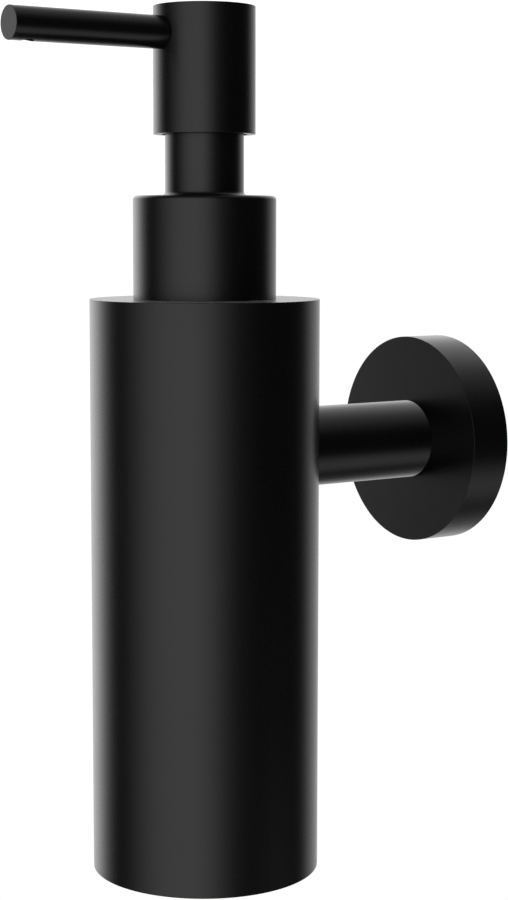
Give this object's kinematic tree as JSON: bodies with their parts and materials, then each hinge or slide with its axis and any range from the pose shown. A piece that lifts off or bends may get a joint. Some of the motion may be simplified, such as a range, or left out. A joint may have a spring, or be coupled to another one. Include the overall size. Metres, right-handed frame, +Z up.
{
  "type": "wall mounted soap dispenser",
  "caption": "Wall mounted soap dispenser: cylindrical metal bottle on a round arm and rosette, with a screw collar and a press-down swivelling pump head with a straight spout.",
  "frame": {"origin": "centre of the rosette's back face, on the wall, on the arm's axis", "axes": "+Z up along the bottle, +Y into the wall, the dispenser stands out towards -Y and its spout points to -Y"},
  "size_m": [0.05, 0.114, 0.1883],
  "materials": {
    "black_coat": "satin black powder coat, very fine texture",
    "cast_zinc": "as-cast zinc alloy, dull",
    "bolt_steel": "zinc plated steel",
    "stainless": "bare stainless steel, machined",
    "black_plastic": "moulded black polypropylene",
    "white_plastic": "natural polypropylene, translucent white",
    "tube_plastic": "clear extruded polyethylene",
    "gasket_foam": "white closed-cell seal"
  },
  "bodies": {
    "holder": {"wall_plate": "cast_zinc", "rosette": "black_coat", "rosette_grub_screw": "bolt_steel", "arm": "black_coat", "arm_bolt": "bolt_steel", "arm_washer": "bolt_steel", "bottle_boss": "stainless", "bottle_shell": "black_coat", "bottle_base": "black_coat", "top_plate": "black_coat", "bottle_neck": "stainless"},
    "pump": {"neck_gasket": "gasket_foam", "pump_housing": "white_plastic", "guide_bush": "white_plastic", "dip_tube": "tube_plastic", "return_spring": "stainless"},
    "closure": {"closure_nut": "black_plastic", "collar_shell": "black_coat"},
    "plunger": {"piston": "white_plastic"},
    "head": {"stem": "white_plastic", "head_insert": "white_plastic", "head_shell": "black_coat", "spout": "black_coat", "spout_liner": "black_plastic"},
    "inlet_valve": {"inlet_ball": "stainless"},
    "outlet_valve": {"outlet_ball": "stainless"}
  },
  "joints": [
    {"name": "pump_lift", "type": "slide", "parent": "holder", "child": "pump", "axis": [0, 0, 1], "range_m": [0, 0.14]},
    {"name": "collar_turn", "type": "hinge", "parent": "pump", "child": "closure", "pos_m": [0, -0.067, 0.034], "axis": [0, 0, 1], "range_deg": [0, 1080]},
    {"name": "head_press", "type": "slide", "parent": "pump", "child": "plunger", "axis": [0, 0, -1], "range_m": [0, 0.0115], "stiffness_N_per_m": 600, "springref_m": -0.01, "deforming": ["return_spring"]},
    {"name": "head_swivel", "type": "hinge", "parent": "plunger", "child": "head", "pos_m": [0, -0.067, 0.09], "axis": [0, 0, 1], "continuous": true},
    {"name": "inlet_lift", "type": "slide", "parent": "pump", "child": "inlet_valve", "axis": [0, 0, 1], "range_m": [0, 0.0015]},
    {"name": "outlet_lift", "type": "slide", "parent": "head", "child": "outlet_valve", "axis": [0, 0, 1], "range_m": [0, 0.0013]}
  ]
}
